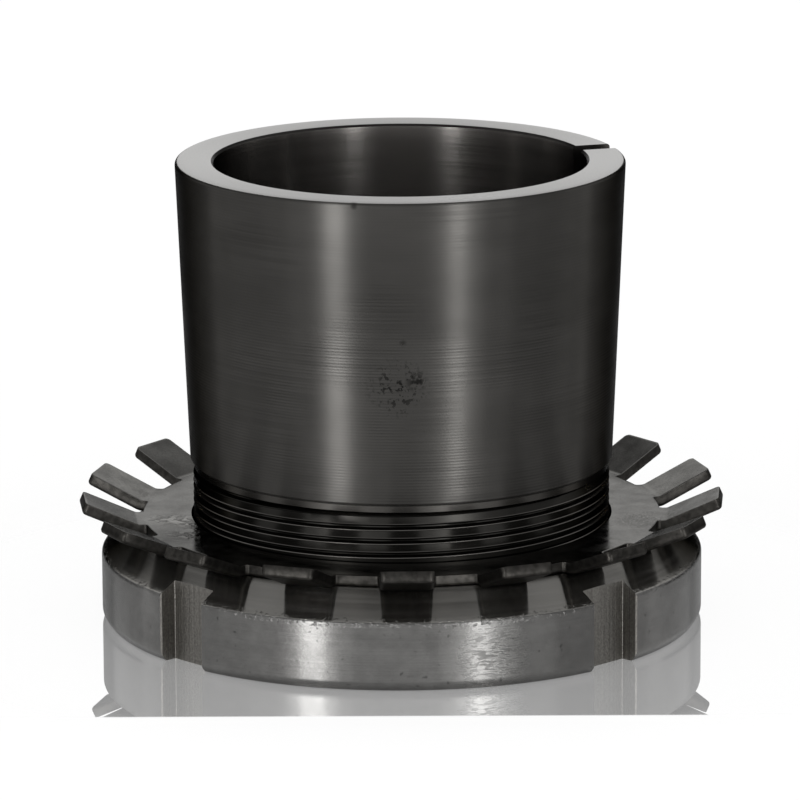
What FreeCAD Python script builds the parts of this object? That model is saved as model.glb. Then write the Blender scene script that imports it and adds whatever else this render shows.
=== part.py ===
import FreeCAD, Part
import math
import os

# A bearing adapter sleeve: a slit sleeve with a tapered outside, its lock nut and its lock washer.
# Lengths are in millimetres and angles in degrees.
# The origin is the centre of the threaded end, which the part stands on. +Z runs up the axis
# towards the large end, and azimuths are measured from +X towards +Y.

# Sleeve
bore_d = 40.0
sleeve_length = 50.0
thread_wall = 2.5           # from the bore to the crests of the thread
seat_step = 0.3             # how far the seat's small end stands out beyond the thread
taper_ratio = 12.0          # length over which the seat's diameter grows by 1
bore_edge = 0.4
rim_edge = 0.35
slit_width = 2.5
slit_azimuth = 16.9

# Thread, cut plain to its outer diameter
thread_length = 16.5
thread_edge = 0.8
thread_gap = 0.05           # between the sleeve's thread and the nut's, on the radius
runout_length = 1.2         # bevel that leads from the thread out to the seat
runout_depth = 0.5

# Lock washer
washer_thickness = 1.25
washer_ring_width = 5.5     # from the thread to the ring's outer edge
washer_bore_gap = 0.2       # between the washer's bore and the thread, on the radius
tab_count = 17
tab_width = 5.7
tab_tip_cut = 0.5
tab_reach = 6.4             # from the ring's outer edge to the upper edge of the tips
tab_bend_angle = 24.2
tab_sway_angle = 2.6        # tabs towards +Y are bent up this much more, those towards -Y less
tab_bend_round = 1.0
tab_stub = 0.45             # flat stretch of a tab outside the ring
tab_root_round = 0.4
edge_roll = 0.4             # how far the punch draws in the lower outer edges
tang_width = 6.0
tang_side_gap = 0.15        # between the tang and each wall of the keyway
tang_bore_gap = 0.25        # how far the tang stays outside the sleeve's bore
keyway_round = 1.0

# Lock nut
nut_width = 10.0
nut_rim = 10.0              # from the thread to the nut's rim
nut_cone_width = 4.5        # how far the cone reaches in from the rim
nut_cone_angle = 30.0       # slope of the cone
nut_shoulder_round = 0.6
nut_foot_edge = 0.75
nut_slot_count = 4
nut_slot_gap = 0.15         # between each wall of a slot and a tab bent down into it
nut_slot_depth = 2.1
nut_slot_azimuth = -46.0

# Sizes that follow from those above
bore_r = bore_d / 2
thread_r = bore_r + thread_wall
seat_start = thread_length + runout_length
ring_r = thread_r + washer_ring_width
washer_hole_r = thread_r + washer_bore_gap
washer_top = nut_width + washer_thickness
nut_r = thread_r + nut_rim

# Working values
overshoot = 1.0             # how far a cutter or a joined piece reaches past the face it meets
same = 1e-4                 # two lengths closer than this are the same


def seat_radius(z):
    """Radius of the tapered seat at a height above the threaded end."""
    return thread_r + seat_step + (z - seat_start) / taper_ratio / 2


def turned(points):
    """Solid of revolution about Z from the corners of its half section, as (radius, height)."""
    corners = [FreeCAD.Vector(r, 0, z) for r, z in points]
    section = Part.Face(Part.makePolygon(corners + corners[:1]))
    return section.revolve(FreeCAD.Vector(0, 0, 0), FreeCAD.Vector(0, 0, 1), 360)


def at_azimuth(shape, azimuth):
    """The shape turned about Z, so that what pointed along +X points to the azimuth."""
    placed = shape.copy()
    placed.rotate(FreeCAD.Vector(0, 0, 0), FreeCAD.Vector(0, 0, 1), azimuth)
    return placed


def radial_bar(inner, outer, width, low, high):
    """Box that reaches outward along +X between two radii, centred on the X axis."""
    return Part.makeBox(outer - inner, width, high - low, FreeCAD.Vector(inner, -width / 2, low))


def ring_edges(shape, radius, height):
    """The round edges of a turned shape at a given radius and height."""
    found = []
    for edge in shape.Edges:
        curve = edge.Curve
        if isinstance(curve, Part.Circle):
            same_radius = abs(curve.Radius - radius) < same
            same_height = abs(curve.Center.z - height) < same
            if same_radius and same_height:
                found.append(edge)
    return found


def keyway():
    """Cutter for the wide mouth of the slit, which guides the washer's tang."""
    width = tang_width + 2 * tang_side_gap
    cutter = radial_bar(bore_r / 2, nut_r, width, -overshoot, seat_start)
    blind_corners = []
    for edge in cutter.Edges:
        ends = [v.Point for v in edge.Vertexes]
        along_x = abs(ends[0].y - ends[1].y) < same and abs(ends[0].z - ends[1].z) < same
        if along_x and ends[0].z > seat_start / 2:
            blind_corners.append(edge)
    return cutter.makeFillet(keyway_round, blind_corners)


def adapter_sleeve():
    """Slit sleeve: plain bore, tapered seat, thread and the keyway at its threaded end."""
    runout_r = thread_r + seat_step - runout_depth
    body = turned([
        (bore_r + bore_edge, 0),
        (thread_r - thread_edge, 0),
        (thread_r, thread_edge),
        (thread_r, thread_length - (thread_r - runout_r)),
        (runout_r, thread_length),
        (thread_r + seat_step, seat_start),
        (seat_radius(sleeve_length - rim_edge), sleeve_length - rim_edge),
        (seat_radius(sleeve_length) - rim_edge, sleeve_length),
        (bore_r + bore_edge, sleeve_length),
        (bore_r, sleeve_length - bore_edge),
        (bore_r, bore_edge),
    ])
    slit = radial_bar(bore_r / 2, nut_r, slit_width, -overshoot, sleeve_length + overshoot)
    cutter = slit.fuse(keyway())
    return body.cut(at_azimuth(cutter, slit_azimuth))


def lock_nut():
    """Round nut with a cone on its upper side and milled slots for a hook spanner."""
    inner = thread_r + thread_gap
    shoulder = nut_width - nut_cone_width * math.tan(math.radians(nut_cone_angle))
    body = turned([
        (inner + thread_edge, 0),
        (nut_r - nut_foot_edge, 0),
        (nut_r, nut_foot_edge),
        (nut_r, shoulder),
        (nut_r - nut_cone_width, nut_width),
        (inner + thread_edge, nut_width),
        (inner, nut_width - thread_edge),
        (inner, thread_edge),
    ])
    body = body.makeFillet(nut_shoulder_round, ring_edges(body, nut_r, shoulder))
    slot = radial_bar(nut_r - nut_slot_depth, nut_r + overshoot,
                      tab_width + 2 * nut_slot_gap, -overshoot, nut_width + overshoot)
    for number in range(nut_slot_count):
        azimuth = nut_slot_azimuth + number * 360.0 / nut_slot_count
        body = body.cut(at_azimuth(slot, azimuth))
    return body


def upright_edges(shape, low_x, high_x):
    """Edges parallel to Z whose X lies between two values."""
    found = []
    for edge in shape.Edges:
        ends = [v.Point for v in edge.Vertexes]
        if len(ends) == 2 and abs(ends[0].z - ends[1].z) > washer_thickness / 2:
            if low_x < ends[0].x < high_x:
                found.append(edge)
    return found


def rolled(shape, beyond_r, start_r):
    """The flat pressing with its lower outer edges drawn in, as a punch leaves them.

    Edges nearer to the axis than beyond_r stay sharp, and so do those that lie right across
    a tab at start_r, where the bend begins.
    """
    lower = []
    for edge in shape.Edges:
        middle = edge.valueAt((edge.FirstParameter + edge.LastParameter) / 2)
        heights = [v.Point.z for v in edge.Vertexes] + [middle.z]
        flat = all(abs(z - nut_width) < same for z in heights)
        middle_r = math.hypot(middle.x, middle.y)
        if flat and middle_r > beyond_r and abs(middle_r - start_r) > same:
            lower.append(edge)
    return shape.makeChamfer(edge_roll, lower)


def washer_blank():
    """Flat ring with the stub of every tab and the tang, rounded at the roots of the tabs."""
    base = FreeCAD.Vector(0, 0, nut_width)
    blank = Part.makeCylinder(ring_r, washer_thickness, base)
    stub = radial_bar(washer_hole_r, ring_r + tab_stub, tab_width, nut_width, washer_top)
    stubs = [at_azimuth(stub, slit_azimuth + n * 360.0 / tab_count) for n in range(tab_count)]
    blank = blank.multiFuse(stubs)
    blank = blank.cut(Part.makeCylinder(washer_hole_r, washer_thickness, base)).removeSplitter()
    roots = []
    for edge in upright_edges(blank, -ring_r - same, ring_r + same):
        foot = edge.Vertexes[0].Point
        if abs(math.hypot(foot.x, foot.y) - ring_r) < same:
            roots.append(edge)
    blank = blank.makeFillet(tab_root_round, roots)
    blank = rolled(blank, (washer_hole_r + ring_r) / 2, ring_r + tab_stub)
    tang = radial_bar(bore_r + tang_bore_gap, washer_hole_r + overshoot, tang_width,
                      nut_width, washer_top)
    return blank.fuse(at_azimuth(tang, slit_azimuth))


def bent_tab(bend):
    """The bend and the sloping leg of one tab along +X, for its bend angle."""
    start_r = ring_r + tab_stub
    angle = math.radians(bend)
    leg_start = start_r + tab_bend_round * math.sin(angle)
    leg_length = (ring_r + tab_reach - leg_start) / math.cos(angle)
    leg = radial_bar(start_r, start_r + leg_length, tab_width, nut_width, washer_top)
    tip_corners = upright_edges(leg, start_r + same, start_r + leg_length + same)
    leg = leg.makeChamfer(tab_tip_cut, tip_corners)
    leg = rolled(leg, 0, start_r)
    root = [face for face in leg.Faces if abs(face.CenterOfMass.x - start_r) < same][0]
    hinge = FreeCAD.Vector(start_r, 0, washer_top + tab_bend_round)
    curl = root.revolve(hinge, FreeCAD.Vector(0, -1, 0), bend)
    leg.rotate(hinge, FreeCAD.Vector(0, -1, 0), bend)
    return curl.fuse(leg)


def lock_washer():
    """Pressed washer with its outer tabs bent up and one tang into the keyway."""
    tabs = []
    for number in range(tab_count):
        azimuth = slit_azimuth + number * 360.0 / tab_count
        bend = tab_bend_angle + tab_sway_angle * math.sin(math.radians(azimuth))
        tabs.append(at_azimuth(bent_tab(bend), azimuth))
    return washer_blank().multiFuse(tabs).removeSplitter()


os.makedirs("parts", exist_ok=True)
nodes = {
    "adapter_sleeve": adapter_sleeve(),
    "lock_washer": lock_washer(),
    "lock_nut": lock_nut(),
}
for name, shape in nodes.items():
    solid = shape.Solids[0]
    print(name, len(shape.Solids), solid.isValid(), round(solid.Volume, 2))
    solid.exportStep("parts/" + name + ".step")
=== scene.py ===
import bmesh
import bpy
import math
import numpy as np
from mathutils import Matrix, Vector


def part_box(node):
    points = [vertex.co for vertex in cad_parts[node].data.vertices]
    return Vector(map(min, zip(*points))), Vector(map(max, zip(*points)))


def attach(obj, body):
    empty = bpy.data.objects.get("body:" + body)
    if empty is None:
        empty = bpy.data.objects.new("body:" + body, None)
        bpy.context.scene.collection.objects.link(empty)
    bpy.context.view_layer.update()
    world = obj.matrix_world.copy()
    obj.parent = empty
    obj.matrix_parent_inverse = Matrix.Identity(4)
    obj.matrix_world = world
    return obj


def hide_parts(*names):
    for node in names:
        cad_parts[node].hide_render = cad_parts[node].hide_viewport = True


# The bearing adapter sleeve with the marks of its making: the cut thread, the punched and bent
# washer, the milled nut, and the steel finishes. Lengths are in metres and angles in radians
# where no comment says otherwise, and azimuths are measured from +X towards +Y.

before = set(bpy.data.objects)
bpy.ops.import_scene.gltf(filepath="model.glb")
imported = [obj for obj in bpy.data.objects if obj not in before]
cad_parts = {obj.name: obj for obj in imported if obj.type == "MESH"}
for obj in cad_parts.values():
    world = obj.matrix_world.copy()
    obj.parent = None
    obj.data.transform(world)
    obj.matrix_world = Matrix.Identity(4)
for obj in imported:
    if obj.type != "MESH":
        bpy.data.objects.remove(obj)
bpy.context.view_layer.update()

MM = 0.001
FULL_TURN = 2 * math.pi
FRONT = -math.pi / 2        # azimuth of the side that faces the camera

# Sizes read from the frame
nut_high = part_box("lock_nut")[1]
nut_r = nut_high.x
nut_width = nut_high.z
sleeve_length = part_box("adapter_sleeve")[1].z

# Sleeve
bore_r = 20.0 * MM
thread_r = 22.5 * MM
seat_small_r = 22.8 * MM
seat_start = 17.7 * MM
seat_slope = 1 / 24
seat_foot_round = 0.1 * MM
bore_edge = 0.4 * MM
mouth_edge = 0.26 * MM      # the same at the large end
mouth_round = 0.05 * MM
rim_edge = 0.35 * MM
slit_width = 2.5 * MM
slit_azimuth = math.radians(16.9)
keyway_width = 6.3 * MM
keyway_round = 1.0 * MM

# Thread
pitch = 1.5 * MM
thread_length = 16.5 * MM
thread_edge = 0.8 * MM
thread_end = 16.12 * MM     # the last crest slopes in from here to the groove at thread_length
end_groove_r = 22.12 * MM
neck_r = 22.38 * MM         # plain stretch between the thread and the seat
neck_foot = 16.66 * MM
neck_foot_round = 0.04 * MM
neck_top = 17.35 * MM
neck_top_round = 0.05 * MM
nut_thread_r = 22.55 * MM
groove_height = 11.81 * MM  # lower edge of one groove, at the front
thread_fade = 0.25 * MM     # height over which a groove dies out at the end of the thread
neck_fade = 0.03 * MM       # the same where it runs into the neck
# Rows across one pitch, as (height above the groove's lower edge, depth), in millimetres; the
# tool has left a low lip on each side of a groove
groove_rows = [(-0.07, 0.0), (0.0, 0.03), (0.22, 0.42), (0.35, 0.42), (0.55, 0.04), (0.60, 0.0),
               (0.66, 0.05), (1.37, 0.05)]
ridge_rows = [(0.02, 0.0), (0.21, -0.30), (0.35, -0.30), (0.53, 0.0), (0.86, 0.0), (1.2, 0.0)]

# Nut
nut_mouth_round = 0.08 * MM
nut_cone_width = 4.5 * MM
nut_cone_angle = math.radians(30)
nut_cone_round = 0.12 * MM
nut_shoulder_round = 0.6 * MM
nut_foot = (0.6 * MM, 0.8 * MM)       # how far its lower edge is cut back, and how high
nut_foot_rounds = (0.4 * MM, 1.2 * MM)
nut_slot_count = 4
nut_slot_width = 6.2 * MM
nut_slot_depth = 2.1 * MM
nut_slot_azimuth = math.radians(-46)
slot_corner = 0.12 * MM
slot_mouth_edge = 0.3 * MM
slot_step = (0.95 * MM, 0.06 * MM)    # a ledge that the cutter has left along each wall

# Washer
washer_thickness = 1.25 * MM
washer_hole_r = 22.7 * MM
ring_r = 28.0 * MM
tab_count = 17
tab_half_width = 2.85 * MM
tab_tip_round = 0.55 * MM
tab_reach = 6.37 * MM
tab_bend_angle = math.radians(24.2)
tab_sway_angle = math.radians(2.6)
tab_bend_round = 1.0 * MM
tab_bend_start = 0.45 * MM  # flat stretch of a tab outside the ring
tab_root_round = 0.4 * MM
edge_roll = 0.42 * MM       # how far the punch draws in the lower edges
edge_break = 0.07 * MM
edge_break_middle = 0.3 * edge_break  # how far the middle of a broken edge is drawn in
flat_margin = 0.2 * MM      # mesh row beside a rounded edge, which keeps the face beside it flat
burr_radius = 0.5 * MM
burr_height = 0.22 * MM
burr_places = [(29.08, 4.43), (26.36, 13.46), (-27.9, 7.2)]  # in millimetres
tang_half_width = 3.0 * MM
tang_tip_r = 20.25 * MM
tang_tip_round = 0.3 * MM

# Mesh
SLEEVE_COLUMNS = 480
NUT_COLUMNS = 600
ARC_STEPS = 5
TAB_COLUMNS = 6
LEG_ROWS = 5                # on the straight leg of a tab
BEND_ROWS = 8               # on the bend of a tab
GAP_STEPS = 5               # along the ring's edge, from a tab to the middle of the gap beside it
LONGEST_ROW = 1.6 * MM
MERGE = 0.0005 * MM
SHARP_ANGLE = math.radians(28)
OVERSHOOT = 1 * MM          # how far a cutter or a joined piece reaches past the face it meets

# Steel finishes: base colour, roughness, anisotropy, and tint of the reflections at the edges
finishes = {
    "sleeve_seat": ((0.0805, 0.078, 0.074), 0.34, 1.0, 0.3),
    "sleeve_bore": ((0.27, 0.258, 0.245), 0.18, 0.85, 0.1),
    "bore_chamfer": ((0.05, 0.048, 0.046), 0.25, 0, 0.5),
    # Painted shade on the thread's crests and downward faces, and painted light on its upward
    # flanks, in one cut steel
    "thread_crest_painted_shade": ((0.03, 0.029, 0.027), 0.22, 0, 0.1),
    "thread_flank_painted_light": ((0.13, 0.124, 0.116), 0.2, 0, 0.1),
    "sleeve_neck": ((0.065, 0.062, 0.058), 0.25, 0, 0.1),
    "sleeve_slit": ((0.03, 0.028, 0.026), 0.35, 0, 0.5),
    "sleeve_face": ((0.365, 0.36, 0.35), 0.3, 0.5, 1),
    "nut_rim": ((0.155, 0.153, 0.149), 0.19, 1.0, 0.9),
    "nut_cone": ((0.33, 0.322, 0.305), 0.15, 1.0, 0.1),
    "nut_slots": ((0.185, 0.178, 0.165), 0.42, 0, 0.5),
    "washer_sheet": ((0.262, 0.257, 0.245), 0.16, 0, 0.5),
    "washer_edge": ((0.04, 0.038, 0.035), 0.4, 0, 0.5),
}
BRUSHED_ROUND = 0.25        # anisotropic rotation of steel that is turned about the axis

# Heights and feeds of the turned finishes, in millimetres
fine_feed = 0.11
cone_feed = 0.3
seat_feed = 0.32            # pitch of the coarser tool marks on the seat
seat_dull = ((33, 37), (40, 47))      # where the seat turns dull, and bright again
seat_foot = (24, 34)        # where the duller lower end of the seat fades out
seat_marks_end = (34, 38)   # where the coarser tool marks grow faint
shoulder_band = ((6.8, 7.0), (7.6, 7.8))      # the nicked edge between the nut's rim and its cone

# What tells the finishes of the faces apart: limits for the parts of a unit normal
TOP_FACE = 0.9              # along Z, above it: the large end's face
SLIT_WALL = 0.5             # along Z and outward, below it: the walls of the slit and the keyway
# Upward flanks of the thread, picked by SLOPED_FACE, get painted light
SLOPED_FACE = 0.3           # along Z, above it: bevels, and the upper flanks of the thread
CONE_FACE = 0.5             # along Z, above it: the nut's cone and its upper face
UPRIGHT_FACE = 0.1          # along Z, below it: upright faces of the nut
ROUND_FACE = 0.9            # outward, below it: the walls of the nut's slots
SHEET_FACE = 0.75           # along Z, above it: the washer's upper side
crest_margin = 0.15 * MM    # stretch below thread_end that counts as crest
same_radius = 0.01 * MM     # two radii closer than this are the same
MARK_CORE = 0.3             # share of a mark's radius over which it is full

# Camera
lens_mm = 283.6
sensor_mm = 36.0
camera_distance = 680.3 * MM
camera_elevation = 0.2325
camera_roll = -0.0039
camera_aim = Vector((-0.1149, 0, 23.513)) * MM

# Floor and ceiling
WHITE = (1, 1, 1, 1)
stage_size = 6
floor_colour = (0.9, 0.9, 0.9, 1)     # as it lights the part
shadow_share = 0.3
mirror_seen = 0.77          # share of the mirror that the camera sees
mirror_level = 0.65         # the same in the reflections on the part
mirror_blur = 0.05          # none for the camera
mirror_front = (41.0 * MM, 41.4 * MM)         # where the mirror ends in front of the part
mirror_fade = (48 * MM, 64 * MM)      # distance over which it fades out on the other sides
mirror_slant = (0.1, 0.77)  # from where the floor mirrors nothing to where it mirrors in full
ceiling_height = 1
ceiling_dim = (1.15, 0.4)   # distance from the axis and level of the ceiling's dim middle
ceiling_bright = (2.7, 1)   # the same of its bright outer part

# Upright lamps in front of the part, as (side, degrees from the front, width, radiance), and the
# two wider and weaker ones behind each, as (name, distance, width, radiance)
lamp_height = 0.3
strips = (("left", -33.0, 0.098, 5.0), ("right", 28.9, 0.082, 4.4))
strip_distance = 0.6
halos = (("glow", 0.61, 0.2, 1.3), ("haze", 0.62, 0.32, 0.5))

# Cards that show in the part's reflections alone: a row of low ones and a tall one on each side,
# with their edges in degrees from the front, and others, as (name, start, end, distance, height,
# level), with azimuths in degrees
low_card_edges = (42, 56, 70, 88, 107, 180)
low_cards = (("left", -1, (0.8, 0.62, 0.34, 0.3, 0)), ("right", 1, (0.52, 0.34, 0.2, 0.18, 0)))
low_card_size = (0.3, 0.05)           # distance and height
tall_card_edges = (95, 140)
tall_card_size = (0.31, 0.25)
tall_card_level = 0.7
other_cards = (
    ("left_back_card", 103, 135, 0.32, 0.42, 0.12),
    ("right_back_card", 77, 45, 0.32, 0.42, 0.25),
    ("left_side_card", 177, 212, 0.315, 0.25, 0.62),
    ("right_side_card", 3, -32, 0.315, 0.25, 0.45),
)


# Shapes

def rounded(corners):
    """Outline whose corners, each (x, y, radius), are replaced by arcs of that radius."""
    outline = []
    for number, (x, y, radius) in enumerate(corners):
        here = Vector((x, y))
        if radius == 0:
            outline.append(here)
            continue
        before = (Vector(corners[number - 1][:2]) - here).normalized()
        after = (Vector(corners[(number + 1) % len(corners)][:2]) - here).normalized()
        half = before.angle(after) / 2
        middle = here + (before + after).normalized() * radius / math.sin(half)
        start = here + before * radius / math.tan(half) - middle
        end = here + after * radius / math.tan(half) - middle
        turn = math.atan2(start.cross(end), start.dot(end))
        for step in range(ARC_STEPS + 1):
            outline.append(middle + Matrix.Rotation(turn * step / ARC_STEPS, 2) @ start)
    return outline


def refined(outline):
    """The outline with extra points, so that no stretch is longer than a row may be."""
    points = []
    for here, after in zip(outline, outline[1:]):
        pieces = max(1, math.ceil((after - here).length / LONGEST_ROW))
        points += [here.lerp(after, step / pieces) for step in range(pieces)]
    return points + outline[-1:]


def linked(name, data):
    """New object of the scene with this data."""
    thing = bpy.data.objects.new(name, data)
    bpy.context.scene.collection.objects.link(thing)
    return thing


def store(work, mesh):
    """Stores a working mesh, with doubles merged and normals outward."""
    bmesh.ops.remove_doubles(work, verts=work.verts, dist=MERGE)
    bmesh.ops.recalc_face_normals(work, faces=work.faces)
    work.to_mesh(mesh)
    work.free()


def mesh_object(name, points, faces):
    """Closed object from points and faces, with doubles merged and normals outward."""
    mesh = bpy.data.meshes.new(name)
    mesh.from_pydata([tuple(p) for p in points], [], faces)
    work = bmesh.new()
    work.from_mesh(mesh)
    store(work, mesh)
    return linked(name, mesh)


def level_rings(outline, columns):
    """Rings of constant radius and height for a turned outline of (radius, height)."""
    ones = np.ones(columns + 1)
    return [(point[0] * ones, point[1] * ones) for point in outline]


def thread_rings(base_r, rows, low, high, columns, fade_above):
    """Rings that climb with the thread between two heights, from the lowest up."""
    azimuths = np.linspace(0, FULL_TURN, columns + 1)
    climb = pitch * (azimuths - FRONT) / FULL_TURN
    # Enough turns that the first and the last ring are level all the way round
    first = math.floor((low - groove_height) / pitch) - 3
    last = math.ceil((high - groove_height) / pitch) + 1
    rings = []
    for turn in range(first, last + 1):
        for height, depth in rows:
            z = np.clip(groove_height + turn * pitch + height * MM + climb, low, high)
            fade = np.clip(np.minimum((z - low) / thread_fade, (high - z) / fade_above), 0, 1)
            rings.append((base_r - depth * MM * fade, z))
    return rings


def turned(name, rings, columns):
    """Closed object from rings that run once round its section."""
    azimuths = np.linspace(0, FULL_TURN, columns + 1)
    azimuths[-1] = 0
    points = []
    for radius, height in rings:
        points += list(np.stack([radius * np.cos(azimuths), radius * np.sin(azimuths), height], 1))
    faces = []
    for ring in range(len(rings)):
        after = (ring + 1) % len(rings)
        for column in range(columns):
            a = ring * (columns + 1) + column
            b = after * (columns + 1) + column
            faces.append((a, a + 1, b + 1, b))
    return mesh_object(name, points, faces)


def prism(outline, low, high, place):
    """Closed object from an outline of (x, y) between two levels, put in place by a matrix."""
    count = len(outline)
    points = [place @ Vector((x, y, level)) for level in (low, high) for x, y in outline]
    faces = [tuple(range(count)), tuple(range(count, 2 * count))]
    for here in range(count):
        after = (here + 1) % count
        faces.append((here, after, after + count, here + count))
    return mesh_object("cutter", points, faces)


def combined(piece, tool, operation):
    """Cuts the tool out of the piece, or joins it to it, and deletes the tool."""
    modifier = piece.modifiers.new(operation, "BOOLEAN")
    modifier.operation = operation
    modifier.solver = "EXACT"
    modifier.object = tool
    settled = piece.evaluated_get(bpy.context.evaluated_depsgraph_get())
    old = piece.data
    mesh = bpy.data.meshes.new_from_object(settled)
    piece.modifiers.clear()
    piece.data = mesh
    mesh.name = old.name
    bpy.data.meshes.remove(old)
    bpy.data.objects.remove(tool)


def finish_mesh(piece):
    """Merges doubles once more and shades the mesh smooth, with sharp edges kept."""
    work = bmesh.new()
    work.from_mesh(piece.data)
    store(work, piece.data)
    piece.data.shade_smooth()
    piece.data.set_sharp_from_angle(angle=SHARP_ANGLE)


def about_axis(azimuth):
    """Turn about the Z axis."""
    return Matrix.Rotation(azimuth, 4, "Z")


def make_sleeve():
    """Slit sleeve with its cut thread, the bevel where it runs out, and the tapered seat."""
    rim_r = seat_small_r + (sleeve_length - seat_start) * seat_slope
    foot = rounded([
        (bore_r + bore_edge, 0, 0),
        (thread_r - thread_edge, 0, 0),
    ])
    thread = thread_rings(thread_r, groove_rows, thread_edge, thread_length, SLEEVE_COLUMNS,
                          neck_fade)
    slope = (thread_r - end_groove_r) / (thread_length - thread_end)
    thread = [(np.minimum(radius, thread_r - (height - thread_end) * slope), height)
              for radius, height in thread]
    upper = rounded([
        (end_groove_r, thread_length, 0),
        (neck_r, neck_foot, neck_foot_round),
        (neck_r, neck_top, neck_top_round),
        (seat_small_r, seat_start, seat_foot_round),
        (rim_r, sleeve_length, rim_edge),
        (bore_r + mouth_edge, sleeve_length, mouth_round),
        (bore_r, sleeve_length - mouth_edge, mouth_round),
        (bore_r, bore_edge, 0),
    ])
    rings = level_rings(foot, SLEEVE_COLUMNS) + thread
    rings += level_rings(refined(upper), SLEEVE_COLUMNS)
    sleeve = turned("sleeve_body", rings, SLEEVE_COLUMNS)

    # The cutters' outlines stand upright, and the cutters reach outward along the slit's azimuth
    upright = Matrix(((0, 0, 1, 0), (1, 0, 0, 0), (0, 1, 0, 0), (0, 0, 0, 1)))
    place = about_axis(slit_azimuth) @ upright
    half, top = slit_width / 2, sleeve_length + OVERSHOOT
    slit = [(-half, -OVERSHOOT), (half, -OVERSHOOT), (half, top), (-half, top)]
    half = keyway_width / 2
    keyway = rounded([
        (-half, -OVERSHOOT, 0), (half, -OVERSHOOT, 0),
        (half, seat_start, keyway_round), (-half, seat_start, keyway_round),
    ])
    for outline in (slit, keyway):
        combined(sleeve, prism(outline, bore_r / 2, nut_r, place), "DIFFERENCE")
    finish_mesh(sleeve)
    return sleeve


def make_nut():
    """Round nut with a coned face, an internal thread and four milled slots."""
    shoulder = nut_width - nut_cone_width * math.tan(nut_cone_angle)
    outside = rounded([
        (nut_thread_r, thread_edge, 0),
        (nut_thread_r + thread_edge, 0, nut_mouth_round),
        (nut_r - nut_foot[0], 0, nut_foot_rounds[0]),
        (nut_r, nut_foot[1], nut_foot_rounds[1]),
        (nut_r, shoulder, nut_shoulder_round),
        (nut_r - nut_cone_width, nut_width, nut_cone_round),
        (nut_thread_r + thread_edge, nut_width, nut_mouth_round),
        (nut_thread_r, nut_width - thread_edge, 0),
    ])
    thread = thread_rings(nut_thread_r, ridge_rows, thread_edge, nut_width - thread_edge,
                          NUT_COLUMNS, thread_fade)
    rings = level_rings(refined(outside), NUT_COLUMNS) + thread[::-1]
    nut = turned("nut_body", rings, NUT_COLUMNS)

    root, half, mouth = nut_r - nut_slot_depth, nut_slot_width / 2, slot_mouth_edge
    ledge, low_half = root + slot_step[0], half - slot_step[1]
    slot = rounded([
        (root, low_half, slot_corner), (root, -low_half, slot_corner), (ledge, -low_half, 0),
        (ledge, -half, 0), (nut_r - mouth, -half, 0), (nut_r + mouth, -half - 2 * mouth, 0),
        (nut_r + mouth, half + 2 * mouth, 0), (nut_r - mouth, half, 0), (ledge, half, 0),
        (ledge, low_half, 0),
    ])
    for number in range(nut_slot_count):
        place = about_axis(nut_slot_azimuth + number * FULL_TURN / nut_slot_count)
        combined(nut, prism(slot, -OVERSHOOT, nut_width + OVERSHOOT, place), "DIFFERENCE")
    finish_mesh(nut)
    return nut


def tab_bend(azimuth):
    """Bend angle of the tab at an azimuth; those towards the camera are bent up less."""
    return tab_bend_angle + tab_sway_angle * math.sin(azimuth)


def tab_length(bend):
    """Length of the flat tab, from the axis to its tip, for its bend angle."""
    start = ring_r + tab_bend_start
    leg_start = start + tab_bend_round * math.sin(bend)
    curl = bend * (tab_bend_round + washer_thickness / 2)
    return start + curl + (ring_r + tab_reach - leg_start) / math.cos(bend)


def sector_half(length, inset):
    """Half of one sector's flat outline, drawn in by a distance, from tip centre to mid gap.

    Gives the stations of the tab as (x, half width), from the tip to its root, and then the
    points of the root fillet and of the ring's edge.
    """
    stations = []
    corner = tab_tip_round
    for step in range(ARC_STEPS + 1):
        angle = step / ARC_STEPS * math.pi / 2
        along = length - corner + (corner - inset) * math.cos(angle)
        stations.append((along, tab_half_width - corner + (corner - inset) * math.sin(angle)))
    root_x = math.sqrt((ring_r + tab_root_round) ** 2 - (tab_half_width + tab_root_round) ** 2)
    curl_end = ring_r + tab_bend_start + tab_bend_angle * (tab_bend_round + washer_thickness)
    for x in np.linspace(length - corner, curl_end, LEG_ROWS + 1)[1:]:
        stations.append((x, tab_half_width - inset))
    for x in np.linspace(curl_end, root_x, BEND_ROWS + 1)[1:]:
        stations.append((x, tab_half_width - inset))
    edge = []
    centre_y = tab_half_width + tab_root_round
    sweep = math.pi / 2 - math.atan2(centre_y, root_x)
    for step in range(1, ARC_STEPS + 1):
        angle = -math.pi / 2 - sweep * step / ARC_STEPS
        reach = tab_root_round + inset
        edge.append((root_x + reach * math.cos(angle), centre_y + reach * math.sin(angle)))
    contact = math.atan2(edge[-1][1], edge[-1][0])
    for angle in np.linspace(contact, math.pi / tab_count, GAP_STEPS + 1)[1:]:
        edge.append(((ring_r - inset) * math.cos(angle), (ring_r - inset) * math.sin(angle)))
    return stations, edge


def bent(x, y, height, bend):
    """Place of a point of the flat washer, given its height in the sheet, after bending."""
    start = ring_r + tab_bend_start
    along = x - start
    if along <= 0:
        return (x, y, nut_width + height)
    radius = tab_bend_round + washer_thickness - height
    neutral = tab_bend_round + washer_thickness / 2
    angle = min(along / neutral, bend)
    straight = along - angle * neutral
    return (start + radius * math.sin(angle) + straight * math.cos(bend), y,
            nut_width + washer_thickness + tab_bend_round - radius * math.cos(angle)
            + straight * math.sin(bend))


def strip_faces(one, other):
    """Faces between two rows of point numbers."""
    return [(one[here], one[here + 1], other[here + 1], other[here])
            for here in range(len(one) - 1)]


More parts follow.
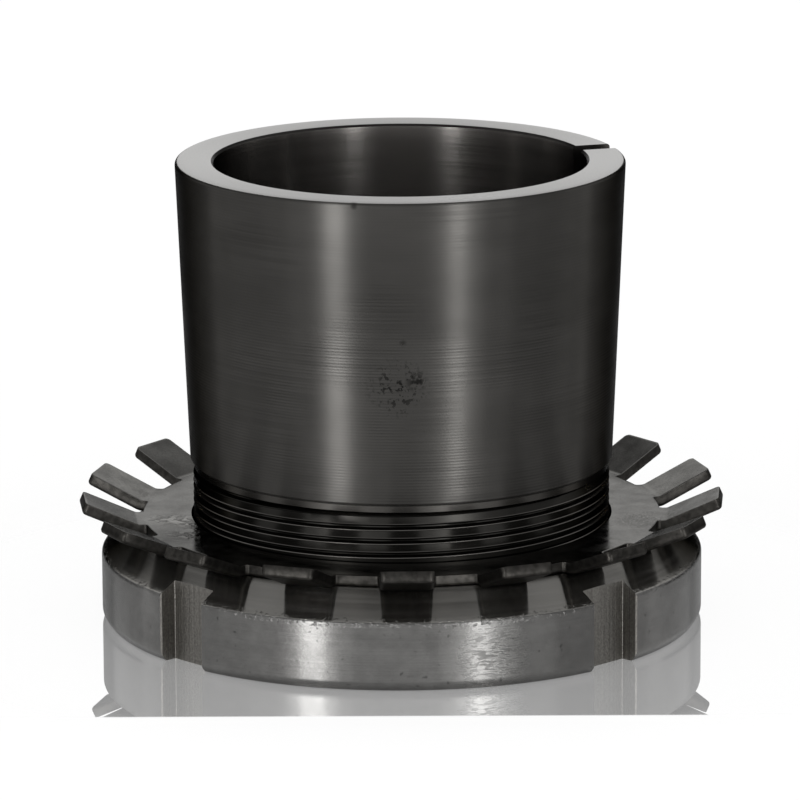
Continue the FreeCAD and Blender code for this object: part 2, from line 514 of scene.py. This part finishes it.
def washer_sector(azimuth):
    """Points and faces of one tab with its share of the ring."""
    bend = tab_bend(azimuth)
    length = tab_length(bend)
    top = washer_thickness
    margin = edge_break + flat_margin
    # Layers of the outer edge from the upper face down, as (inset, height in the sheet)
    layers = [(margin, top), (edge_break, top), (edge_break_middle, top - edge_break_middle),
              (0, top - edge_break)]
    for step in range(ARC_STEPS + 1):
        angle = step / ARC_STEPS * math.pi / 2
        layers.append((edge_roll * (1 - math.cos(angle)), edge_roll * (1 - math.sin(angle))))
    bore_layers = [(margin, top), (edge_break, top), (0, top - edge_break), (0, edge_break),
                   (edge_break, 0), (margin, 0)]
    points, faces = [], []

    def add(x, y, height):
        points.append(bent(x, y, height, bend))
        return len(points) - 1

    grids, borders = [], []
    for inset, height in layers:
        stations, edge = sector_half(length, inset)
        grid = [[add(x, half * (2 * j / TAB_COLUMNS - 1), height) for j in range(TAB_COLUMNS + 1)]
                for x, half in stations]
        left = [add(x, y, height) for x, y in edge]
        right = [add(x, -y, height) for x, y in edge]
        grids.append((grid, left, right))
        borders.append(right[::-1] + [row[0] for row in grid[::-1]] + grid[0][1:-1]
                       + [row[-1] for row in grid] + left)
    for one, other in zip(borders, borders[1:]):
        faces += strip_faces(one, other)
    # The tab's upper and lower face, and the border of the ring's face that is left of each
    ring_borders = []
    for grid, left, right in (grids[0], grids[-1]):
        for one, other in zip(grid, grid[1:]):
            faces += strip_faces(one, other)
        ring_borders.append(right[::-1] + grid[-1] + left)
    angles = [math.atan2(points[p][1], points[p][0]) for p in ring_borders[0]]
    bore = []
    for inset, height in bore_layers:
        radius = washer_hole_r + inset
        bore.append([add(radius * math.cos(a), radius * math.sin(a), height) for a in angles])
    for one, other in zip([ring_borders[0]] + bore, bore + [ring_borders[1]]):
        faces += strip_faces(one, other)
    turn = about_axis(azimuth)
    return [turn @ Vector(p) for p in points], faces


def raise_burr(piece, place):
    """Lifts the edge of the sheet near a place, as a punch leaves it."""
    for vertex in piece.data.vertices:
        distance = (vertex.co - place).length
        if distance < burr_radius:
            vertex.co.z += burr_height * (1 - distance / burr_radius)


def make_washer():
    """Lock washer, pressed from sheet: ring, bent tabs and the tang that sits in the keyway."""
    points, faces = [], []
    for number in range(tab_count):
        azimuth = slit_azimuth + number * FULL_TURN / tab_count
        sector_points, sector_faces = washer_sector(azimuth)
        faces += [tuple(p + len(points) for p in face) for face in sector_faces]
        points += sector_points
    washer = mesh_object("washer_body", points, faces)
    root, half = washer_hole_r + OVERSHOOT, tang_half_width
    tang = rounded([
        (tang_tip_r, -half, tang_tip_round), (root, -half, 0),
        (root, half, 0), (tang_tip_r, half, tang_tip_round),
    ])
    top = nut_width + washer_thickness
    combined(washer, prism(tang, nut_width, top, about_axis(slit_azimuth)), "UNION")
    for x, y in burr_places:
        raise_burr(washer, Vector((x * MM, y * MM, top)))
    finish_mesh(washer)
    return washer


# Materials

def set_inputs(tree, node, values):
    """Puts numbers, colours or other nodes' outputs into a node's inputs."""
    for key, value in values.items():
        if isinstance(value, bpy.types.NodeSocket):
            tree.links.new(value, node.inputs[key])
        else:
            node.inputs[key].default_value = value


def add_node(tree, kind, inputs, **settings):
    """New node with its settings and inputs."""
    node = tree.nodes.new(kind)
    for setting, value in settings.items():
        setattr(node, setting, value)
    set_inputs(tree, node, inputs)
    return node


def worked_out(tree, operation, a, b=0.0, clamp=False):
    """Result of a mathematical operation on one or two values."""
    node = add_node(tree, "ShaderNodeMath", {0: a, 1: b}, operation=operation, use_clamp=clamp)
    return node.outputs[0]


def ranged(tree, value, low, high, to_low, to_high, interpolation="LINEAR"):
    """The value brought from one range to another, and kept inside it."""
    ends = {"From Min": low, "From Max": high, "To Min": to_low, "To Max": to_high}
    node = add_node(tree, "ShaderNodeMapRange", {"Value": value, **ends}, clamp=True,
                    interpolation_type=interpolation)
    return node.outputs[0]


class Shading:
    """One material's nodes, with patterns laid out in millimetres in the frame of the object."""

    def __init__(self, name):
        colour, roughness, anisotropy, tint = finishes[name]
        self.material = bpy.data.materials.new(name)
        self.material.use_nodes = True
        self.tree = self.material.node_tree
        self.shader = self.tree.nodes["Principled BSDF"]
        inputs = {"Base Color": (*colour, 1), "Roughness": roughness, "Metallic": 1,
                  "Specular Tint": (tint, tint, tint, 1)}
        if anisotropy:
            tangent = self.node("ShaderNodeTangent", {}, direction_type="RADIAL", axis="Z")
            inputs["Anisotropic"] = anisotropy
            inputs["Anisotropic Rotation"] = BRUSHED_ROUND
            inputs["Tangent"] = tangent.outputs[0]
        set_inputs(self.tree, self.shader, inputs)
        self.place = self.node("ShaderNodeTexCoord", {}).outputs["Object"]
        self.relief = None

    def node(self, kind, inputs, **settings):
        return add_node(self.tree, kind, inputs, **settings)

    def ranged(self, value, low, high, to_low, to_high):
        return ranged(self.tree, value, low, high, to_low, to_high)

    def product(self, a, b):
        return worked_out(self.tree, "MULTIPLY", a, b)

    def noise(self, across, up=None, detail=2.0, low=0.35, high=0.65):
        """Noise between 0 and 1, with cells per millimetre across the axis and along it."""
        cells = (across, across, across if up is None else up)
        mapping = self.node("ShaderNodeMapping", {"Vector": self.place,
                                                  "Scale": [count / MM for count in cells]})
        texture = self.node("ShaderNodeTexNoise", {"Vector": mapping.outputs[0], "Scale": 1,
                                                   "Detail": detail})
        return self.ranged(texture.outputs["Fac"], low, high, 0, 1)

    def height(self):
        """Height above the threaded end, in millimetres."""
        parts = self.node("ShaderNodeSeparateXYZ", {0: self.place})
        return worked_out(self.tree, "DIVIDE", parts.outputs["Z"], MM)

    def band(self, rise, fall):
        """1 between two heights, with a rise and a fall, each from one height to another."""
        return self.product(self.ranged(self.height(), *rise, 0, 1),
                            self.ranged(self.height(), *fall, 1, 0))

    def near(self, place, radius):
        """1 round a place on the part, falling to 0 at a radius, both in millimetres."""
        distance = self.node("ShaderNodeVectorMath", {0: self.place, 1: Vector(place) * MM},
                             operation="DISTANCE")
        core = radius * MM * MARK_CORE
        return self.ranged(distance.outputs["Value"], core, radius * MM, 1, 0)

    def shade(self, factor):
        """Multiplies the base colour by a factor."""
        base = self.shader.inputs["Base Color"]
        before = base.links[0].from_socket if base.is_linked else base.default_value
        mix = self.node("ShaderNodeMix", {"Factor": 1, "A": before, "B": factor},
                        data_type="RGBA", blend_type="MULTIPLY")
        self.tree.links.new(mix.outputs["Result"], base)

    def vary(self, pattern, at_zero, at_one):
        """Multiplies the base colour by a factor that follows a pattern from 0 to 1."""
        self.shade(self.ranged(pattern, 0, 1, at_zero, at_one))

    def roughen(self, amount):
        """Adds an amount to the roughness."""
        rough = self.shader.inputs["Roughness"]
        before = rough.links[0].from_socket if rough.is_linked else rough.default_value
        self.tree.links.new(worked_out(self.tree, "ADD", before, amount, clamp=True), rough)

    def bump(self, height, depth):
        """Adds relief of a depth in millimetres."""
        inputs = {"Distance": depth * MM, "Strength": 1, "Height": height}
        if self.relief is not None:
            inputs["Normal"] = self.relief
        self.relief = self.node("ShaderNodeBump", inputs).outputs[0]
        self.tree.links.new(self.relief, self.shader.inputs["Normal"])


def turned_steel(name, feed, contrast=0.06, spread=0.05):
    """Steel turned about the axis, with tool lines a feed apart, in millimetres.

    The contrast is that of the lines, and the spread is how much rougher some are than others.
    """
    steel = Shading(name)
    streaks = steel.noise(0.05, 1 / feed)
    steel.vary(steel.noise(0.12, 0.3), 0.94, 1.05)
    steel.vary(streaks, 1 - contrast, 1 + contrast)
    steel.roughen(steel.ranged(streaks, 0, 1, 0, spread))
    return steel


def assign(piece, chosen):
    """Gives each face the material that a rule picks from its centre and its normal."""
    piece.data.materials.clear()
    names = []
    for face in piece.data.polygons:
        shading = chosen(face.center, face.normal)
        if shading.material.name not in names:
            names.append(shading.material.name)
            piece.data.materials.append(shading.material)
        face.material_index = names.index(shading.material.name)


def outward_part(centre, normal):
    """Distance of a face from the axis, and the part of its normal that points away from it."""
    radius = math.hypot(centre.x, centre.y)
    return radius, (normal.x * centre.x + normal.y * centre.y) / radius


def seat_steel():
    """Steel of the tapered seat, with its tool marks, the stain in front and a nick at the rim."""
    seat = turned_steel("sleeve_seat", fine_feed, contrast=0.02, spread=0.02)
    seat.roughen(seat.product(seat.band(*seat_dull), 0.07))
    seat.roughen(seat.ranged(seat.height(), *seat_foot, 0.025, 0))
    lines = seat.product(seat.noise(0.02, 4.5, detail=0, low=0.42, high=0.58),
                         seat.noise(0.12, detail=1, low=0.45, high=0.6))
    seat.vary(lines, 1.01, 0.96)
    seat.roughen(seat.product(lines, 0.03))
    phase = seat.product(seat.height(), FULL_TURN / seat_feed)
    shown = seat.product(seat.ranged(seat.height(), *seat_marks_end, 1, 0.35),
                         seat.noise(0.15, detail=1, low=0.35, high=0.6))
    marks = seat.product(worked_out(seat.tree, "SINE", phase), shown)
    seat.roughen(seat.product(marks, 0.06))
    seat.shade(seat.ranged(marks, -1, 1, 1.05, 0.95))
    seat.bump(marks, 0.0006)
    specks = seat.product(seat.noise(2.9, detail=2, low=0.53, high=0.61),
                          seat.noise(0.9, detail=1, low=0.4, high=0.52))
    blot = seat.noise(2, detail=3, low=0.42, high=0.56)
    for pattern, place, radius, darker in (
        (blot, (1.6, -23.4, 31.0), 1.3, 0.75),
        (specks, (-0.3, -23.4, 30.3), 3.7, 0.72),
        (blot, (0.2, -23.4, 35.1), 0.5, 0.5),
    ):
        seat.vary(seat.product(seat.near(place, radius), pattern), 1, 1 - darker)
    seat.vary(seat.near((-4.8, -23.6, 49.7), 0.45), 1, 0.4)
    return seat


def ground_steel():
    """Steel of the large end's face, with a worn place and a nick."""
    ground = Shading("sleeve_face")
    ground.vary(ground.noise(5), 0.92, 1.06)
    worn = ground.product(ground.near((7.0, -21.4, 50), 6), ground.noise(2, detail=3))
    ground.vary(worn, 1, 1.25)
    ground.vary(ground.near((-4.8, -23.2, 50), 0.45), 1, 0.5)
    return ground


def sleeve_finish():
    """Rule for the steels of the sleeve."""
    seat = seat_steel()
    bore = turned_steel("sleeve_bore", fine_feed, contrast=0.02, spread=0.03)
    bore_chamfer = Shading("bore_chamfer")
    crest = Shading("thread_crest_painted_shade")
    flank = Shading("thread_flank_painted_light")
    neck = Shading("sleeve_neck")
    cut = Shading("sleeve_slit")
    ground = ground_steel()

    def pick(centre, normal):
        radius, outward = outward_part(centre, normal)
        if normal.z > TOP_FACE and centre.z > sleeve_length - rim_edge:
            return ground
        if abs(outward) < SLIT_WALL and abs(normal.z) < SLIT_WALL:
            return cut
        if radius < bore_r + bore_edge:
            return bore_chamfer if abs(normal.z) > SLOPED_FACE else bore
        # Painted light on the thread's upward flanks, painted shade on its crests and downward
        # faces
        if centre.z < thread_length:
            sloped = normal.z > SLOPED_FACE and centre.z < thread_end - crest_margin
            return flank if sloped else crest
        return neck if radius < neck_r + same_radius else seat
    return pick


def nut_finish():
    """Rule for the steels of the nut."""
    rim = turned_steel("nut_rim", fine_feed)
    grain = rim.noise(4, 7)
    rim.vary(grain, 0.94, 1.05)
    rim.bump(grain, 0.002)
    rim.vary(rim.noise(0.7, detail=4), 0.9, 1.05)
    rim.vary(rim.noise(2.2, detail=0, low=0.78, high=0.84), 1, 0.55)
    scuff = rim.product(rim.noise(1.1, 6, detail=3, low=0.45, high=0.6),
                        rim.near((9.6, -31, 3.4), 5))
    rim.roughen(rim.product(scuff, 0.22))
    rim.bump(scuff, 0.004)
    cone = turned_steel("nut_cone", cone_feed)
    for steel in (rim, cone):
        nicks = steel.noise(2.5, detail=3, low=0.54, high=0.72)
        steel.bump(steel.product(nicks, steel.band(*shoulder_band)), 0.04)
    milled = Shading("nut_slots")
    marks = milled.noise(4, 0.06)
    milled.vary(marks, 0.88, 1.1)
    milled.bump(marks, 0.01)
    grain = milled.noise(4, detail=3)
    milled.vary(grain, 0.82, 1.15)
    milled.bump(grain, 0.015)

    def pick(centre, normal):
        radius, outward = outward_part(centre, normal)
        slot_root = nut_thread_r + thread_edge < radius < nut_r - nut_slot_depth / 2
        if abs(normal.z) < UPRIGHT_FACE and (abs(outward) < ROUND_FACE or slot_root):
            return milled
        return cone if normal.z > CONE_FACE else rim
    return pick


def washer_finish():
    """Rule for the steels of the washer."""
    sheet = Shading("washer_sheet")
    sheet.vary(sheet.noise(0.3), 0.85, 1.1)
    sheet.vary(sheet.noise(4), 0.88, 1.08)
    sheet.roughen(sheet.ranged(sheet.noise(0.5), 0, 1, -0.03, 0.08))
    torn = sheet.noise(1.1, detail=4, low=0.4, high=0.52)
    specks = sheet.noise(3.5, detail=2, low=0.5, high=0.6)
    for pattern, place, radius, lighter, relief in (
        (torn, (-24.7, -3.9, 11.25), 3.2, 1.5, 0.035),
        (torn, (-22.6, -10.4, 11.25), 3.2, 1.5, 0.035),
        (torn, (-21.7, -6.1, 11.25), 2.6, 1.5, 0.035),
        (specks, (26.2, -4.7, 11.25), 4.5, 1.5, 0.015),
    ):
        spread = sheet.product(sheet.near(place, radius), pattern)
        sheet.vary(spread, 1, lighter)
        sheet.bump(spread, relief)
    # Painted shade: the ring's upper face is darker round its front left, beside the sleeve
    sheet.vary(sheet.near((-22.5, -12.5, 11.25), 9), 1, 0.6)
    sheared = Shading("washer_edge")
    sheared.vary(sheared.noise(1.5), 0.7, 1.3)

    def pick(centre, normal):
        return sheared if normal.z < SHEET_FACE else sheet
    return pick


# Stage

def stage_tree(thing, name):
    """Gives a thing of the stage an empty material, and returns its tree."""
    material = bpy.data.materials.new(name)
    material.use_nodes = True
    material.node_tree.nodes.clear()
    thing.data.materials.append(material)
    return material.node_tree


def mixed(tree, share, first, second):
    """Mix of two shaders, by the share of the second."""
    return add_node(tree, "ShaderNodeMixShader", {0: share, 1: first, 2: second}).outputs[0]


def mixed_by_ray(tree, seen, lit):
    """Mixes two shaders: what the camera, mirrors and glass see, and what lights the rest."""
    rays = add_node(tree, "ShaderNodeLightPath", {})
    total = rays.outputs["Is Camera Ray"]
    for kind in ("Is Glossy Ray", "Is Transmission Ray"):
        total = worked_out(tree, "MAXIMUM", total, rays.outputs[kind])
    return mixed(tree, total, lit, seen)


def ray_share(tree, level):
    """A level that holds in the reflections on the part, and is 0 for the camera."""
    rays = add_node(tree, "ShaderNodeLightPath", {})
    return worked_out(tree, "MULTIPLY", rays.outputs["Is Glossy Ray"], level)


def quad(name, corners):
    """Object of one rectangle."""
    mesh = bpy.data.meshes.new(name)
    mesh.from_pydata(corners, [], [(0, 1, 2, 3)])
    return linked(name, mesh)


def level_square(name, height):
    """Level square of the stage, centred on the axis."""
    half = stage_size / 2
    return quad(name, [(-half, -half, height), (half, -half, height), (half, half, height),
                       (-half, half, height)])


def mirror_share(tree):
    """Share of a mirror in the floor.

    The camera sees it round the part, up to a line in front of it, and sees less of it the
    steeper it looks down. Reflections on the part see it all over the floor.
    """
    place = add_node(tree, "ShaderNodeTexCoord", {}).outputs["Object"]
    distance = add_node(tree, "ShaderNodeVectorMath", {0: place}, operation="LENGTH")
    parts = add_node(tree, "ShaderNodeSeparateXYZ", {0: place})
    slant = add_node(tree, "ShaderNodeLayerWeight", {})
    fade = ranged(tree, distance.outputs["Value"], *mirror_fade, 1, 0, "SMOOTHSTEP")
    front = ranged(tree, parts.outputs["Y"], -mirror_front[1], -mirror_front[0], 0, 1)
    grazing = ranged(tree, slant.outputs["Facing"], *mirror_slant, 0, mirror_seen)
    inside = worked_out(tree, "MULTIPLY", fade, front)
    seen = worked_out(tree, "MULTIPLY", inside, grazing)
    return worked_out(tree, "MAXIMUM", seen, ray_share(tree, mirror_level))


def make_floor():
    """White floor that keeps the shadow and mirrors what stands on it."""
    floor = level_square("floor", 0)
    tree = stage_tree(floor, "floor_white")
    lit = add_node(tree, "ShaderNodeBsdfDiffuse", {"Color": floor_colour})
    white = add_node(tree, "ShaderNodeEmission", {"Strength": 1})
    pale = add_node(tree, "ShaderNodeBsdfDiffuse", {"Color": WHITE})
    mirror = add_node(tree, "ShaderNodeBsdfGlossy",
                      {"Color": WHITE, "Roughness": ray_share(tree, mirror_blur)})
    shadowed = mixed(tree, shadow_share, white.outputs[0], pale.outputs[0])
    seen = mixed(tree, mirror_share(tree), shadowed, mirror.outputs[0])
    shader = mixed_by_ray(tree, seen, lit.outputs[0])
    add_node(tree, "ShaderNodeOutputMaterial", {0: shader})


def make_world():
    """Plain white surroundings."""
    world = bpy.data.worlds.new("studio")
    bpy.context.scene.world = world
    world.use_nodes = True
    background = world.node_tree.nodes["Background"]
    set_inputs(world.node_tree, background, {"Color": WHITE, "Strength": 1})


def for_reflections(card, level):
    """Gives a card of the stage its level, and leaves it to be seen in the part alone.

    The level is a number, or a function that adds its nodes to the card's tree. The camera sees
    a sharp mirror in the floor, and rays from a sharp mirror pass through the cards.
    """
    tree = stage_tree(card, card.name)
    strength = level(tree) if callable(level) else level
    glow = add_node(tree, "ShaderNodeEmission", {"Strength": strength})
    rays = add_node(tree, "ShaderNodeLightPath", {})
    clear = add_node(tree, "ShaderNodeBsdfTransparent", {})
    shader = mixed(tree, rays.outputs["Is Singular Ray"], glow.outputs[0], clear.outputs[0])
    add_node(tree, "ShaderNodeOutputMaterial", {0: shader})
    card.visible_camera = False
    card.visible_diffuse = False
    card.visible_shadow = False


def grey_card(name, start, end, distance, height, level):
    """Card that stands beside the part from one azimuth to another."""
    ends = [Vector((math.cos(a), math.sin(a), 0)) * distance for a in (start, end)]
    up = Vector((0, 0, height))
    for_reflections(quad(name, [ends[0], ends[1], ends[1] + up, ends[0] + up]), level)


def ceiling_level(tree):
    """Level of the ceiling: dim over the part, and white further out."""
    place = add_node(tree, "ShaderNodeTexCoord", {}).outputs["Object"]
    distance = add_node(tree, "ShaderNodeVectorMath", {0: place, 1: (0, 0, ceiling_height)},
                        operation="DISTANCE")
    return ranged(tree, distance.outputs["Value"], ceiling_dim[0], ceiling_bright[0],
                  ceiling_dim[1], ceiling_bright[1])


def strip_light(name, azimuth, distance, width, radiance):
    """Upright soft box in front of the part, facing its axis."""
    light = bpy.data.lights.new(name, "AREA")
    light.shape = "RECTANGLE"
    light.size = width
    light.size_y = lamp_height
    light.energy = radiance * math.pi * width * lamp_height
    lamp = linked(name, light)
    direction = Vector((math.cos(azimuth), math.sin(azimuth), 0))
    lamp.location = direction * distance + Vector((0, 0, lamp_height / 2))
    lamp.rotation_euler = direction.to_track_quat("Z", "Y").to_euler()
    lamp.visible_camera = False


def make_camera():
    """Camera at the photograph's place and angle."""
    camera = linked("camera", bpy.data.cameras.new("camera"))
    camera.data.lens = lens_mm
    camera.data.sensor_width = sensor_mm
    back = Vector((0, -math.cos(camera_elevation), math.sin(camera_elevation)))
    camera.location = camera_aim + back * camera_distance
    turn = Matrix.Rotation(math.pi / 2 - camera_elevation, 3, "X")
    camera.rotation_euler = (turn @ Matrix.Rotation(camera_roll, 3, "Z")).to_euler()
    bpy.context.scene.camera = camera


def from_front(degrees):
    """Azimuth that lies this many degrees from the front, towards +X."""
    return FRONT + math.radians(degrees)


sleeve = make_sleeve()
washer = make_washer()
nut = make_nut()
for piece, node, slot, body, finish in (
    (sleeve, "adapter_sleeve", "sleeve_steel", "sleeve", sleeve_finish()),
    (washer, "lock_washer", "washer_steel", "washer", washer_finish()),
    (nut, "lock_nut", "nut_steel", "nut", nut_finish()),
):
    assign(piece, finish)
    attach(piece, body)
    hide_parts(node)

make_floor()
make_world()
for_reflections(level_square("ceiling", ceiling_height), ceiling_level)
for side, degrees, strip_width, strip_radiance in strips:
    lamps = (("strip", strip_distance, strip_width, strip_radiance), *halos)
    for lamp_name, distance, width, radiance in lamps:
        strip_light(f"{side}_{lamp_name}", from_front(degrees), distance, width, radiance)
for side, sign, levels in low_cards:
    for start, end, level in zip(low_card_edges, low_card_edges[1:], levels):
        grey_card(f"{side}_card_{start}", from_front(sign * start), from_front(sign * end),
                  *low_card_size, level)
    start, end = tall_card_edges
    grey_card(f"{side}_tall_card", from_front(sign * start), from_front(sign * end),
              *tall_card_size, tall_card_level)
for name, start, end, distance, height, level in other_cards:
    grey_card(name, math.radians(start), math.radians(end), distance, height, level)
make_camera()
bpy.context.scene.view_settings.view_transform = "Standard"
